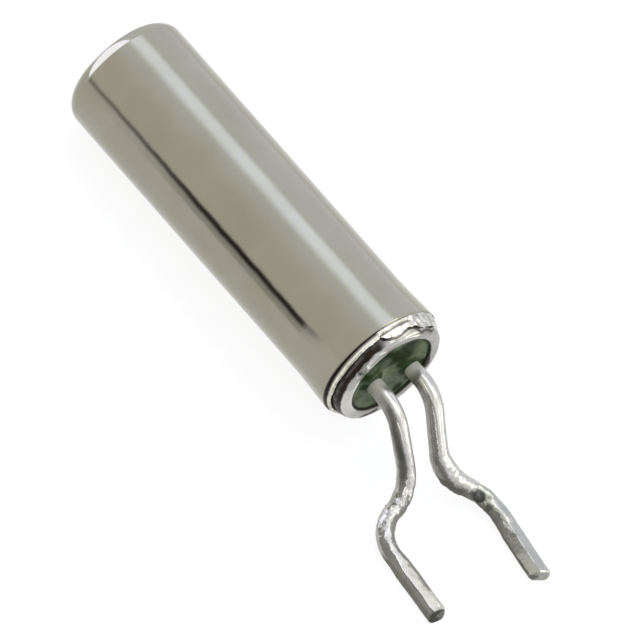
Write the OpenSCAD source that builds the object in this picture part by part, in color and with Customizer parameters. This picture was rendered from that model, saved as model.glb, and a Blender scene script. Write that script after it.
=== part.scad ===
// Cylindrical tuning-fork quartz crystal with leads formed for surface mounting
// Millimetres. The board is the plane z = 0, and +X runs along the can towards its leads.

/* [Can] */
// Outside diameter of the can's straight wall
can_d = 1.9; // [1.75:0.05:2.6]
// Length from the closed end to the lip
can_len = 5.95; // [5.6:0.05:8]
// Thickness of the drawn wall
can_wall = 0.085; // [0.06:0.005:0.11]
// Outside radius round the closed end
end_r = 0.22; // [0.14:0.01:0.4]
// How far the pressed-in base swells the mouth, on the radius
mouth_swell = 0.03; // [0.01:0.005:0.06]
// Rise of the can's axis towards the leads, in degrees
can_tilt = 3.2; // [2:0.1:5]

/* [Base] */
// Length of the base ring inside the can
ring_seat = 0.98; // [0.8:0.02:1.2]
// How far the base ring stands out of the can
ring_proud = 0.22; // [0.14:0.01:0.4]
// Wall of the base ring, from its rim to the glass
ring_wall = 0.2; // [0.14:0.01:0.26]
// Rounding of the ring's front edge
ring_edge_r = 0.07; // [0.03:0.01:0.1]
// Depth of the glass below each face of the ring
glass_recess = 0.04; // [0.02:0.01:0.12]
// Height and width of the glass that creeps up each lead
glass_creep = 0.05; // [0.02:0.01:0.08]

/* [Lead wire] */
// Diameter of the tinned wire
lead_d = 0.26; // [0.2:0.01:0.3]
// Distance between the leads where they leave the glass
lead_pitch = 0.7; // [0.6:0.02:0.8]
// Length of the posts inside the can
post_len = 0.8; // [0.7:0.05:1]

/* [Lead forming] */
// From the ring's face to the corner of the first bend
bend_out = 0.54; // [0.4:0.02:0.8]
// Centreline radius of the bends
bend_r = 0.6; // [0.3:0.05:0.6]
// From the first bend to the kink, along the board
kink_reach = 0.81; // [0.6:0.02:1]
// Distance between the leads at the kink
kink_spread = 0.55; // [0.4:0.02:0.7]
// Height of the wire's centre at the kink
kink_height = 0.425; // [0.35:0.025:0.6]
// From the first bend to the heels, along the board
heel_reach = 1.15; // [1:0.05:1.5]
// Distance between the heels
heel_spread = 1.94; // [1.7:0.02:2.3]
// Distance between the toes
toe_spread = 1.85; // [1.6:0.02:2.2]
// Length of the left foot, from its heel
foot_len_left = 1.51; // [1.2:0.02:1.8]
// Length of the right foot, from its heel
foot_len_right = 1.47; // [1.2:0.02:1.8]
// Sideways set of the formed leads, in degrees
lead_skew = -5; // [-8:0.5:8]

/* [Coined feet] */
// Width of a foot
foot_w = 0.31; // [0.28:0.01:0.38]
// Thickness of a foot
foot_t = 0.22; // [0.18:0.01:0.24]
// Height of the flat that is left on a foot's sides
foot_side = 0.12; // [0.06:0.01:0.16]
// Length of the ramp where the wire is pressed down to the foot
foot_ramp = 0.16; // [0.08:0.02:0.3]
// Height of the round wire above the board at the heels
heel_lift = 0.006; // [0.004:0.002:0.02]

/* [Tuning fork] */
// Resonant frequency in kilohertz, which sets the length of the tines
frequency = 32.768; // [30:0.004:60]
// Width of a tine
tine_w = 0.23; // [0.18:0.01:0.26]
// Width of the slot between the tines
slot_w = 0.14; // [0.1:0.01:0.2]
// Thickness of the quartz
fork_t = 0.13; // [0.1:0.01:0.2]
// Width of the fork's base
fork_base_w = 0.84; // [0.8:0.02:1]
// Gap between the fork and the glass base
fork_gap = 0.25; // [0.15:0.05:0.35]
// Gap between the tines and the can's closed end
tip_gap = 0.6; // [0.4:0.05:0.9]

/* [Films and solder] */
// Thickness of the electrode films
film_t = 0.01; // [0.006:0.002:0.02]
// Width of the electrode along each tine
strip_w = 0.12; // [0.06:0.01:0.16]
// Gap between the two contact pads
pad_gap = 0.2; // [0.1:0.02:0.24]
// Length of the weight film at each tine's tip
weight_len = 0.5; // [0.3:0.05:0.8]
// Thickness of the weight film
weight_t = 0.02; // [0.01:0.005:0.04]
// Thickness of solder round a post
joint_t = 0.06; // [0.03:0.01:0.08]
// Height of the solder bead round the mouth
bead_h = 0.07; // [0.03:0.005:0.1]
// Height of the thicker flash in the bead
flash_h = 0.14; // [0.08:0.005:0.15]
// Angle of the bead that the flash takes up, in degrees
flash_arc = 80; // [30:5:150]
// Angle from the top of the can to the middle of the flash, in degrees
flash_turn = -10; // [-45:1:45]

/* [Hidden] */
$fn = 64;

// Cantilever constant of quartz: kilohertz times millimetres
fork_constant = 880;
// Largest share of a straight run that one bend may take
bend_share = 0.48;
// Extra length of a cutter past the face that it opens
past = 0.1;
// Thickness that glass keeps at a feather edge
feather = 0.01;
// The sleeve that joins a straight run to a bend is this much larger than the wire, on the radius
hair = 0.002;
// Half the length of such a sleeve
sleeve = 0.02;
// Distance from the middle of a sleeve to the end of the run
run_gap = 0.005;

can_r = can_d / 2;
bore_r = can_r - can_wall;
lip_r = can_r + mouth_swell;
ring_r = bore_r + mouth_swell;
glass_r = ring_r - ring_wall;
ring_back = can_len - ring_seat;
ring_face = can_len + ring_proud;
glass_back = ring_back + glass_recess;
glass_face = ring_face - glass_recess;

wire_r = lead_d / 2;
foot_root = wire_r / 2;
wire_rest = wire_r + heel_lift;
post_end = glass_back - post_len;
side_left = -1;
side_right = 1;

tine_len = sqrt(fork_constant * tine_w / frequency);
fork_w = 2 * tine_w + slot_w;
fork_end = ring_back - fork_gap;
fork_tip = can_wall + tip_gap;
fork_len = fork_end - fork_tip;
fork_base_len = fork_len - tine_len;
fork_low = film_t;
fork_high = fork_low + fork_t;
tine_mid = (slot_w + tine_w) / 2;
pad_len = fork_end - post_end;
joint_r = wire_r + joint_t;

// The closed end's edge lies on the board
axis_height = end_r + (can_r - end_r) * cos(can_tilt) - end_r * sin(can_tilt);

// Point of the tilted can: distance along its axis, side and depth below the axis
function can_point(along, side, depth = 0) = [
    along * cos(can_tilt) + depth * sin(can_tilt),
    side,
    axis_height + along * sin(can_tilt) - depth * cos(can_tilt)
];

// Point of the formed leads: reach past the first bend, side and height above the board
function formed_point(reach, side, height) = [
    can_point(ring_face + bend_out, 0).x + reach * cos(lead_skew) - side * sin(lead_skew),
    reach * sin(lead_skew) + side * cos(lead_skew),
    height
];

function foot_len(side) = side == side_left ? foot_len_left : foot_len_right;

function lead_corners(side) = [
    can_point(post_end, side * lead_pitch / 2),
    can_point(ring_face + bend_out, side * lead_pitch / 2),
    formed_point(kink_reach, side * kink_spread / 2, kink_height),
    formed_point(heel_reach, side * heel_spread / 2, wire_rest),
    formed_point(heel_reach + foot_len(side), side * toe_spread / 2, wire_rest)
];

function way(from, to) = (to - from) / norm(to - from);
function turned(a, b, c) = acos(way(a, b) * way(b, c));
function setback(a, b, c) = min(
    bend_r * tan(turned(a, b, c) / 2),
    bend_share * min(norm(b - a), norm(c - b))
);

// Where the bend at one corner of a path begins and ends
function bend_start(p, i) = p[i] - way(p[i - 1], p[i]) * setback(p[i - 1], p[i], p[i + 1]);
function bend_end(p, i) = p[i] + way(p[i], p[i + 1]) * setback(p[i - 1], p[i], p[i + 1]);

function columns(x, y, z, place) = [
    [x.x, y.x, z.x, place.x],
    [x.y, y.y, z.y, place.y],
    [x.z, y.z, z.z, place.z],
    [0, 0, 0, 1]
];

// The two outer corners of a foot's toe and heel, for the part's box
function foot_corners(side) =
    let (p = lead_corners(side), out = cross([0, 0, 1], way(p[3], p[4])) * foot_w / 2)
    [p[4] - out, p[4] + out, bend_end(p, 3) - out, bend_end(p, 3) + out];

feet_corners = concat(foot_corners(side_left), foot_corners(side_right));
box_back = can_point(end_r, 0, end_r - can_r).x - end_r;
box_front = max([for (p = feet_corners) p.x]);
box_left = min(-lip_r, min([for (p = feet_corners) p.y]));
box_right = max(lip_r, max([for (p = feet_corners) p.y]));

// The origin is under the middle of the part's box
module on_board() {
    translate([-(box_back + box_front) / 2, -(box_left + box_right) / 2, 0])
        children();
}

// Z runs along the can's axis from its closed end, X points down at the board and Y is sideways
module in_can() {
    on_board()
        translate([0, 0, axis_height])
            rotate([0, 90 - can_tilt, 0])
                children();
}

// Half section of a closed cup that swells towards its mouth
module cup_section(r, corner, floor) {
    polygon([
        [0, floor + corner], [r, floor + corner], [r, ring_back],
        [r + mouth_swell, can_len], [0, can_len]
    ]);
    translate([0, floor])
        square([r - corner, 2 * corner]);
    translate([r - corner, floor + corner])
        circle(r = corner);
}

// Drawn cup with a rounded closed end
module can() {
    color("#b9b6ac")
        in_can()
            rotate_extrude()
                difference() {
                    cup_section(can_r, end_r, 0);
                    cup_section(bore_r, end_r - can_wall, can_wall);
                }
}

// Bead with a round top that covers the lip's wall, as high as given
module bead_section(height) {
    half = can_wall / 2;
    round_r = (half * half + height * height) / (2 * height);
    intersection() {
        translate([lip_r - half, can_len + height - round_r])
            circle(r = round_r);
        translate([ring_r, can_len])
            square([can_wall, height + past]);
    }
}

// Solder squeezed out at the mouth, with a thicker flash near the top
module seal_solder() {
    flash_start = 180 + flash_turn - flash_arc / 2;
    color("#d8d4c6")
        in_can() {
            rotate([0, 0, flash_start])
                rotate_extrude(angle = flash_arc)
                    bead_section(flash_h);
            rotate([0, 0, flash_start + flash_arc])
                rotate_extrude(angle = 360 - flash_arc)
                    bead_section(bead_h);
        }
}

// Metal ring pressed into the mouth, with its front edge rounded
module base_ring() {
    color("#c9c9c4")
        in_can()
            rotate_extrude()
                difference() {
                    polygon([
                        [glass_r, ring_back], [bore_r, ring_back], [ring_r, can_len],
                        [ring_r, ring_face], [glass_r, ring_face]
                    ]);
                    difference() {
                        translate([ring_r - ring_edge_r, ring_face - ring_edge_r])
                            square(ring_edge_r + past);
                        translate([ring_r - ring_edge_r, ring_face - ring_edge_r])
                            circle(r = ring_edge_r);
                    }
                }
}

// Places its children on both leads where they pass through the glass
module at_leads() {
    for (side = [side_left, side_right])
        translate([0, side * lead_pitch / 2, 0])
            children();
}

// Glass that fills the ring and seals round both leads
module glass_seal() {
    color("#5d7a58")
        in_can()
            difference() {
                union() {
                    translate([0, 0, glass_back])
                        cylinder(r = glass_r, h = glass_face - glass_back);
                    at_leads()
                        translate([0, 0, glass_face])
                            cylinder(r1 = wire_r + glass_creep, r2 = wire_r + feather, h = glass_creep);
                }
                at_leads()
                    translate([0, 0, glass_back - past])
                        cylinder(r = wire_r, h = ring_face - glass_back + glass_creep + 2 * past);
            }
}

// Round bar of radius r between two points
module bar(from, to, r) {
    z = way(from, to);
    x = way([0, 0, 0], cross([0, 1, 0], z));
    multmatrix(columns(x, cross(z, x), z, from))
        cylinder(r = r, h = norm(to - from));
}

// Straight wire that stops just short of two points
module wire_run(from, to) {
    gap = way(from, to) * run_gap;
    bar(from + gap, to - gap, wire_r);
}

// Round bend at corner i of a path, with a sleeve at each end that joins it to the straight wire
module wire_bend(p, i) {
    start = bend_start(p, i);
    end = bend_end(p, i);
    along = way(p[i - 1], p[i]);
    onward = way(p[i], p[i + 1]);
    angle = turned(p[i - 1], p[i], p[i + 1]);
    radius = norm(start - p[i]) / tan(angle / 2);
    axis = way([0, 0, 0], cross(along, onward));
    out = cross(along, axis);
    multmatrix(columns(out, along, axis, start - out * radius))
        rotate_extrude(angle = angle)
            translate([radius, 0])
                circle(r = wire_r);
    bar(start - along * sleeve, start + along * sleeve, wire_r + hair);
    bar(end - onward * sleeve, end + onward * sleeve, wire_r + hair);
}

// Round wire that is pressed flat between dies, from the heel's bend to the toe
module coined_foot(from, to) {
    length = norm(to - from);
    along = way(from, to);
    wire_top = wire_rest + wire_r + heel_lift;
    multmatrix(columns(along, cross([0, 0, 1], along), [0, 0, 1], [from.x, from.y, 0])) {
        difference() {
            translate([run_gap, 0, wire_rest])
                rotate([0, 90, 0])
                    cylinder(r = wire_r, h = foot_ramp);
            translate([0, foot_w, 0])
                rotate([90, 0, 0])
                    linear_extrude(2 * foot_w)
                        polygon([
                            [0, wire_top], [foot_ramp, foot_t], [foot_ramp + 2 * past, foot_t],
                            [foot_ramp + 2 * past, 2 * wire_top], [0, 2 * wire_top]
                        ]);
        }
        intersection() {
            translate([0, 0, foot_t / 2])
                rotate([0, 90, 0])
                    cylinder(d = norm([foot_w, foot_side]), h = length);
            linear_extrude(foot_t)
                polygon([
                    [2 * run_gap, -foot_root], [foot_ramp, -foot_w / 2], [length, -foot_w / 2],
                    [length, foot_w / 2], [foot_ramp, foot_w / 2], [2 * run_gap, foot_root]
                ]);
        }
    }
}

// Formed lead: post inside the can, three bends and a coined foot
module lead(side) {
    p = lead_corners(side);
    difference() {
        on_board() {
            wire_run(p[0], bend_start(p, 1));
            wire_run(bend_end(p, 1), bend_start(p, 2));
            wire_run(bend_end(p, 2), bend_start(p, 3));
            for (i = [1, 2, 3])
                wire_bend(p, i);
            coined_foot(bend_end(p, 3), p[4]);
        }
        in_can()
            translate([-lead_d, side * lead_pitch / 2 - lead_d, post_end - past])
                cube([lead_d, 2 * lead_d, pad_len + past]);
    }
}

module lead_left() {
    color("#a9a9a6")
        lead(side_left);
}

module lead_right() {
    color("#a9a9a6")
        lead(side_right);
}

// Lays a flat piece on the posts: its X runs to the closed end, its Z is up and its Y is to the left
module on_posts() {
    in_can()
        translate([0, 0, fork_end])
            rotate([0, -90, 0])
                rotate([0, 0, 180])
                    children();
}

// Quartz blank with two tines and a slot that ends in a half circle
module tuning_fork() {
    color("#dfe6e8", 0.8)
        on_posts()
            translate([0, 0, fork_low])
                linear_extrude(fork_t)
                    difference() {
                        polygon([
                            [0, -fork_base_w / 2], [pad_len, -fork_base_w / 2],
                            [fork_base_len, -fork_w / 2], [fork_len, -fork_w / 2],
                            [fork_len, fork_w / 2], [fork_base_len, fork_w / 2],
                            [pad_len, fork_base_w / 2], [0, fork_base_w / 2]
                        ]);
                        translate([fork_base_len + slot_w / 2, -slot_w / 2])
                            square([tine_len, slot_w]);
                        translate([fork_base_len + slot_w / 2, 0])
                            circle(d = slot_w);
                    }
}

// Film folded round one edge of the base, with a strip along both faces of its tine
module electrode(side) {
    tall = fork_t + 2 * film_t;
    strip_end = fork_len - weight_len - pad_gap;
    on_posts()
        mirror([0, side == side_right ? 1 : 0, 0])
            difference() {
                union() {
                    translate([0, pad_gap / 2, 0])
                        cube([pad_len, (fork_base_w - pad_gap) / 2 + film_t, tall]);
                    translate([0, tine_mid - strip_w / 2, 0])
                        cube([strip_end, strip_w, tall]);
                }
                translate([-past, 0, fork_low])
                    cube([strip_end + 2 * past, fork_base_w / 2, fork_t]);
            }
}

module electrode_left() {
    color("#d9b95a")
        electrode(side_left);
}

module electrode_right() {
    color("#d9b95a")
        electrode(side_right);
}

// Metal film that is trimmed by laser to tune the fork
module tip_weights() {
    color("#c8c2b0")
        on_posts()
            for (side = [side_left, side_right])
                translate([fork_len - weight_len, side * tine_mid - tine_w / 2, fork_high])
                    cube([weight_len, tine_w, weight_t]);
}

// Solder under one contact pad, round the flat-topped post
module mounting_solder(side) {
    in_can()
        translate([0, side * lead_pitch / 2, post_end])
            difference() {
                cylinder(r = joint_r, h = pad_len);
                translate([0, 0, -past])
                    cylinder(r = wire_r, h = pad_len + 2 * past);
                translate([-2 * joint_r, -2 * joint_r, -past])
                    cube([2 * joint_r, 4 * joint_r, pad_len + 2 * past]);
            }
}

module solder_left() {
    color("#c4c4c0")
        mounting_solder(side_left);
}

module solder_right() {
    color("#c4c4c0")
        mounting_solder(side_right);
}

can();
seal_solder();
base_ring();
glass_seal();
lead_left();
lead_right();
tuning_fork();
electrode_left();
electrode_right();
tip_weights();
solder_left();
solder_right();
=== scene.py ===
import math

import bpy
import numpy as np
from mathutils import Matrix, Vector, noise


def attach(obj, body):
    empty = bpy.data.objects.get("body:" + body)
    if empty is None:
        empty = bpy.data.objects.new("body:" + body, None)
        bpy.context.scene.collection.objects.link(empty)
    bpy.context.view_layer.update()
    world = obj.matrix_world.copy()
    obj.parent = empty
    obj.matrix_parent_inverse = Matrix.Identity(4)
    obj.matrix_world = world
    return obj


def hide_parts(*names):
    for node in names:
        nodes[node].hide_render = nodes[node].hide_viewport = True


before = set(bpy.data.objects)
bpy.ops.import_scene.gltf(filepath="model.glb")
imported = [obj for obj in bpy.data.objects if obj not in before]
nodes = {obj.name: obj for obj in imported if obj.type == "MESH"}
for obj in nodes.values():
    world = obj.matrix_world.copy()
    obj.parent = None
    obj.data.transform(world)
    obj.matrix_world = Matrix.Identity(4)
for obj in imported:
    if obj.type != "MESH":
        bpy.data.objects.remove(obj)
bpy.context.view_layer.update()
scene = bpy.context.scene
scene.view_settings.view_transform = "Standard"
mm = 0.001


# the can's axis in the part's frame, in millimetres, as the source places it
axis = {"start": (-4.68366, 0.16403, 0.93658), "tilt": 3.2}
tilt = math.radians(axis["tilt"])
alongDir = np.array((math.cos(tilt), 0, math.sin(tilt)))
upDir = np.array((-math.sin(tilt), 0, math.cos(tilt)))
sideDir = np.array((0.0, 1.0, 0.0))
axisStart = np.array(axis["start"])


def canPoints(along, radius, turn):
    # turn is measured from the top of the can towards +Y
    along, radius, turn = np.broadcast_arrays(along, radius, turn)
    return (axisStart + along[..., None] * alongDir
            + (radius * np.cos(turn))[..., None] * upDir
            + (radius * np.sin(turn))[..., None] * sideDir)


def smooth(low, high, x):
    u = np.clip((np.asarray(x, float) - low) / (high - low), 0, 1)
    return u * u * (3 - 2 * u)


def lumps(points, size, seed):
    # soft random height between -1 and 1, features about size millimetres wide
    flat = np.asarray(points, float).reshape(-1, 3) / size + np.array((seed * 3.7, seed * 1.9, seed * 5.3))
    values = np.array([noise.noise(Vector(p)) for p in flat])
    return values.reshape(np.asarray(points).shape[:-1])


def layered(points, layers):
    # heights of several sizes of lumps: each layer is height, size and seed
    return sum(height * lumps(points, size, seed) for height, size, seed in layers)


def dips(points, layers):
    # the same, but only ever inward
    return sum(depth * (lumps(points, size, seed) + 1) / 2 for depth, size, seed in layers)


def hump(x, middle, wide):
    return np.exp(-((x - middle) / wide) ** 2)


def newMesh(name, points, faces, sharp=35):
    mesh = bpy.data.meshes.new(name)
    mesh.from_pydata((np.asarray(points) * mm).tolist(), [], faces)
    mesh.validate()
    mesh.shade_smooth()
    mesh.set_sharp_from_angle(angle=math.radians(sharp))
    piece = bpy.data.objects.new(name, mesh)
    scene.collection.objects.link(piece)
    return piece


def ringFaces(count, around, start=0):
    faces = []
    for i in range(count - 1):
        a, b = start + i * around, start + (i + 1) * around
        faces += [(a + j, a + (j + 1) % around, b + (j + 1) % around, b + j) for j in range(around)]
    return faces


def ringMesh(name, rings, closed=False, capStart=False, capEnd=False, sharp=35):
    # rings of points become one skin; closed joins the last ring to the first
    count, around = rings.shape[:2]
    points = rings.reshape(-1, 3)
    faces = ringFaces(count, around)
    if closed:
        last = (count - 1) * around
        faces += [(last + j, last + (j + 1) % around, (j + 1) % around, j) for j in range(around)]
    if capStart:
        points = np.vstack((points, rings[0].mean(0)))
        faces += [(len(points) - 1, (j + 1) % around, j) for j in range(around)]
    if capEnd:
        last = (count - 1) * around
        points = np.vstack((points, rings[-1].mean(0)))
        faces += [(len(points) - 1, last + j, last + (j + 1) % around) for j in range(around)]
    return newMesh(name, points, faces, sharp)


def addMask(piece, name, values):
    # a painted mask on the points; end caps take the mean
    full = np.full(len(piece.data.vertices), float(np.mean(values)), np.float32)
    full[:values.size] = values.reshape(-1)
    piece.data.attributes.new(name, "FLOAT", "POINT").data.foreach_set("value", full)


def place(piece, node, material):
    piece.data.materials.clear()
    piece.data.materials.append(material)
    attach(piece, "root")
    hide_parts(node)


# camera: the photo's angle, with the can running from upper left to lower right
view = {"along": 0.37, "turn": -38.9, "target": (1.47672, 0.16403, 1.281), "pixel": (390.6, 373.8),
        "picture": 640, "pixelsPerMm": 72.2, "distance": 275.0, "spin": (0.6607, 0.7507), "sensor": 36,
        "clip": (0.01, 10)}


def addCamera():
    turn = math.radians(view["turn"])
    level = math.sqrt(1 - view["along"] ** 2)
    lift = upDir * math.cos(turn) + sideDir * math.sin(turn)
    toCamera = alongDir * view["along"] + lift * level
    downCan = alongDir * level - lift * view["along"]
    across = sideDir * math.cos(turn) - upDir * math.sin(turn)
    right = downCan * view["spin"][0] + across * view["spin"][1]
    up = -downCan * view["spin"][1] + across * view["spin"][0]
    offX, offY = [(p - view["picture"] / 2) / view["pixelsPerMm"] for p in view["pixel"]]
    aim = np.array(view["target"]) - right * offX + up * offY
    spot = (aim + toCamera * view["distance"]) * mm
    data = bpy.data.cameras.new("camera")
    data.sensor_width = view["sensor"]
    data.lens = view["sensor"] * view["distance"] / (view["picture"] / view["pixelsPerMm"])
    data.clip_start, data.clip_end = view["clip"]
    camera = bpy.data.objects.new("camera", data)
    rows = [[right[i], up[i], toCamera[i], spot[i]] for i in range(3)]
    camera.matrix_world = Matrix(rows + [[0, 0, 0, 1]])
    scene.collection.objects.link(camera)
    scene.camera = camera


addCamera()
print("camera set")


# shader helpers
def newTree(name):
    material = bpy.data.materials.new(name)
    material.use_nodes = True
    tree = material.node_tree
    tree.nodes.clear()
    return material, tree


def add(tree, kind, **settings):
    node = tree.nodes.new(kind)
    for key, value in settings.items():
        if hasattr(node, key):
            setattr(node, key, value)
        else:
            node.inputs[key.replace("_", " ")].default_value = value
    return node


def join(tree, source, target):
    tree.links.new(source, target)


def maths(tree, operation, a, b=None, c=None, clamp=False):
    node = add(tree, "ShaderNodeMath", operation=operation, use_clamp=clamp)
    for socket, value in zip(node.inputs, (a, b, c)):
        if value is None:
            continue
        if isinstance(value, (int, float)):
            socket.default_value = value
        else:
            join(tree, value, socket)
    return node.outputs[0]


def mixColor(tree, share, a, b):
    node = add(tree, "ShaderNodeMix", data_type="RGBA")
    for socket, value in ((node.inputs[0], share), (node.inputs[6], a), (node.inputs[7], b)):
        if isinstance(value, (int, float)):
            socket.default_value = value
        elif isinstance(value, (tuple, list)):
            socket.default_value = (*value, 1)
        else:
            join(tree, value, socket)
    return node.outputs[2]


def band(tree, value, low, high, toLow=0.0, toHigh=1.0):
    node = add(tree, "ShaderNodeMapRange", interpolation_type="SMOOTHSTEP")
    join(tree, value, node.inputs["Value"])
    for name, number in (("From Min", low), ("From Max", high), ("To Min", toLow), ("To Max", toHigh)):
        node.inputs[name].default_value = number
    return node.outputs[0]


def newGroup(name, inputs, outputs):
    group = bpy.data.node_groups.new(name, "ShaderNodeTree")
    for label, kind, value in inputs:
        socket = group.interface.new_socket(name=label, in_out="INPUT", socket_type=kind)
        socket.default_value = value
    for label, kind in outputs:
        group.interface.new_socket(name=label, in_out="OUTPUT", socket_type=kind)
    return group, group.nodes.new("NodeGroupInput"), group.nodes.new("NodeGroupOutput")


def useGroup(tree, group, **values):
    node = tree.nodes.new("ShaderNodeGroup")
    node.node_tree = group
    for key, value in values.items():
        socket = node.inputs[key]
        if isinstance(value, bpy.types.NodeSocket):
            join(tree, value, socket)
        else:
            socket.default_value = value
    return node


def makeMottle():
    # cloudy change of tone in a metal's plating
    group, ins, outs = newGroup("mottle", [
        ("Size", "NodeSocketFloat", 1.0), ("Contrast", "NodeSocketFloat", 1.0),
        ("Tone", "NodeSocketColor", (0.5, 0.5, 0.5, 1)), ("Stain", "NodeSocketColor", (0.4, 0.4, 0.4, 1)),
    ], [("Color", "NodeSocketColor")])
    spot = add(group, "ShaderNodeTexCoord")
    frequency = maths(group, "DIVIDE", 1 / mm, ins.outputs["Size"])
    cloud = add(group, "ShaderNodeTexNoise", Detail=3.0, Roughness=0.6, Distortion=0.4)
    join(group, spot.outputs["Object"], cloud.inputs["Vector"])
    join(group, frequency, cloud.inputs["Scale"])
    centred = maths(group, "SUBTRACT", cloud.outputs[0], 0.5)
    spread = maths(group, "MULTIPLY", centred, ins.outputs["Contrast"])
    mask = maths(group, "ADD", spread, 0.5, clamp=True)
    color = mixColor(group, mask, ins.outputs["Tone"], ins.outputs["Stain"])
    join(group, color, outs.inputs["Color"])
    return group


def makeGrain():
    # fine uneven skin: height for a bump, and a matching change of roughness
    group, ins, outs = newGroup("grain", [
        ("Size", "NodeSocketFloat", 0.05), ("Stretch", "NodeSocketFloat", 1.0),
        ("Rough", "NodeSocketFloat", 0.15), ("Spread", "NodeSocketFloat", 0.05),
    ], [("Height", "NodeSocketFloat"), ("Roughness", "NodeSocketFloat")])
    spot = add(group, "ShaderNodeTexCoord")
    parts = add(group, "ShaderNodeSeparateXYZ")
    join(group, spot.outputs["Object"], parts.inputs[0])
    frequency = maths(group, "DIVIDE", 1 / mm, ins.outputs["Size"])
    slower = maths(group, "DIVIDE", frequency, ins.outputs["Stretch"])
    along = maths(group, "MULTIPLY", parts.outputs[0], slower)
    whole = add(group, "ShaderNodeCombineXYZ")
    join(group, along, whole.inputs[0])
    join(group, maths(group, "MULTIPLY", parts.outputs[1], frequency), whole.inputs[1])
    join(group, maths(group, "MULTIPLY", parts.outputs[2], frequency), whole.inputs[2])
    skin = add(group, "ShaderNodeTexNoise", Scale=1.0, Detail=4.0, Roughness=0.55)
    join(group, whole.outputs[0], skin.inputs["Vector"])
    centred = maths(group, "SUBTRACT", skin.outputs[0], 0.5)
    change = maths(group, "MULTIPLY", centred, ins.outputs["Spread"])
    join(group, skin.outputs[0], outs.inputs["Height"])
    join(group, maths(group, "ADD", ins.outputs["Rough"], change, clamp=True), outs.inputs["Roughness"])
    return group


def makeSpecks():
    # scattered small marks: pits, crumbs of flux and dust
    group, ins, outs = newGroup("specks", [
        ("Size", "NodeSocketFloat", 0.1), ("Cover", "NodeSocketFloat", 0.2),
    ], [("Mask", "NodeSocketFloat")])
    spot = add(group, "ShaderNodeTexCoord")
    frequency = maths(group, "DIVIDE", 1 / mm, ins.outputs["Size"])
    cells = add(group, "ShaderNodeTexVoronoi", feature="F1")
    join(group, spot.outputs["Object"], cells.inputs["Vector"])
    join(group, frequency, cells.inputs["Scale"])
    picked = maths(group, "LESS_THAN", cells.outputs["Color"], ins.outputs["Cover"])
    near = band(group, cells.outputs["Distance"], 0.18, 0.34, 1.0, 0.0)
    join(group, maths(group, "MULTIPLY", picked, near), outs.inputs["Mask"])
    return group


mottle, grain, specks = makeMottle(), makeGrain(), makeSpecks()


# the dark mask holds flux residue and painted shade alike; both are made rougher
residueAndShadeRough = 0.25  # painted residue is this much rougher


def painted(tree, mask):
    return add(tree, "ShaderNodeAttribute", attribute_name=mask).outputs["Fac"]


def surface(tree, look):
    # mottled tone and uneven skin, as colour, roughness and normal
    clouds = useGroup(tree, mottle, Size=look["cloudSize"], Contrast=look["cloudContrast"],
                      Tone=(*look["tone"], 1), Stain=(*look["stain"], 1))
    skin = useGroup(tree, grain, Size=look["grainSize"], Stretch=look.get("grainStretch", 1.0),
                    Rough=look["rough"], Spread=look["roughSpread"])
    bump = add(tree, "ShaderNodeBump", Strength=look["bump"], Distance=look["bumpDepth"] * mm)
    join(tree, skin.outputs["Height"], bump.inputs["Height"])
    return clouds.outputs["Color"], skin.outputs["Roughness"], bump.outputs[0]


def finishMaterial(tree, shader, color, roughness, normal):
    join(tree, color, shader.inputs["Base Color"])
    join(tree, roughness, shader.inputs["Roughness"])
    join(tree, normal, shader.inputs["Normal"])
    join(tree, shader.outputs[0], add(tree, "ShaderNodeOutputMaterial").inputs[0])


def metalMaterial(name, look):
    # plated metal with specks; matte, tint, and a dark mask of residue and painted shade are painted where
    # a look has them
    material, tree = newTree(name)
    shader = add(tree, "ShaderNodeBsdfPrincipled", Metallic=look.get("metal", 1.0))
    color, roughness, normal = surface(tree, look)
    crumbs = useGroup(tree, specks, Size=look["speckSize"], Cover=look["speckCover"])
    crumbShare = maths(tree, "MULTIPLY", crumbs.outputs[0], look["speckShare"])
    color = mixColor(tree, crumbShare, color, look["speckTone"])
    if "matte" in look:
        share = painted(tree, "matte")
        metal = maths(tree, "MULTIPLY_ADD", share, look["matte"] - look["metal"], look["metal"])
        join(tree, metal, shader.inputs["Metallic"])
        color = mixColor(tree, share, color, look["matteTone"])
    if "tint" in look:
        color = mixColor(tree, painted(tree, "tint"), color, look["tint"])
    # dark mask: flux residue together with painted shade and painted shadow
    if "residueAndShade" in look:
        share = painted(tree, "residueAndShade")
        color = mixColor(tree, share, color, look["residueAndShade"])
        rougher = maths(tree, "MULTIPLY", share, residueAndShadeRough)
        roughness = maths(tree, "ADD", roughness, rougher, clamp=True)
    finishMaterial(tree, shader, color, roughness, normal)
    return material


# can: a drawn cup of nickel silver, slightly swollen where the base is pressed in
canLook = {"tone": (0.324, 0.311, 0.253), "stain": (0.291, 0.278, 0.217), "cloudSize": 0.75,
           "cloudContrast": 2.2, "grainSize": 0.09, "grainStretch": 6.0, "rough": 0.13, "roughSpread": 0.06,
           "bump": 0.06, "bumpDepth": 0.004, "speckSize": 0.34, "speckCover": 0.05,
           "speckTone": (0.2, 0.185, 0.13), "speckShare": 0.3, "residueAndShade": (0.012, 0.009, 0.007)}
canForm = {"radius": 0.95, "length": 5.95, "wall": 0.085, "corner": 0.22, "swell": 0.03, "swellStart": 4.97,
           "swellSoft": 0.2, "lipRound": 0.035, "middle": 0.02, "around": 256,
           "wave": 0.0022, "waveSize": 0.5, "waveStretch": 0.45}
# dark line at the lip, painted shade where the lip meets the bead together with burnt flux: wider low on
# the left, nearly gone beside the flash; turns in degrees
canLipShadeAndFlux = {"wide": 0.02, "wider": 0.026, "low": (265, 42), "soft": (0.008, 0.012), "share": 0.98,
            "clean": (0.8, 18, 32)}


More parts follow.
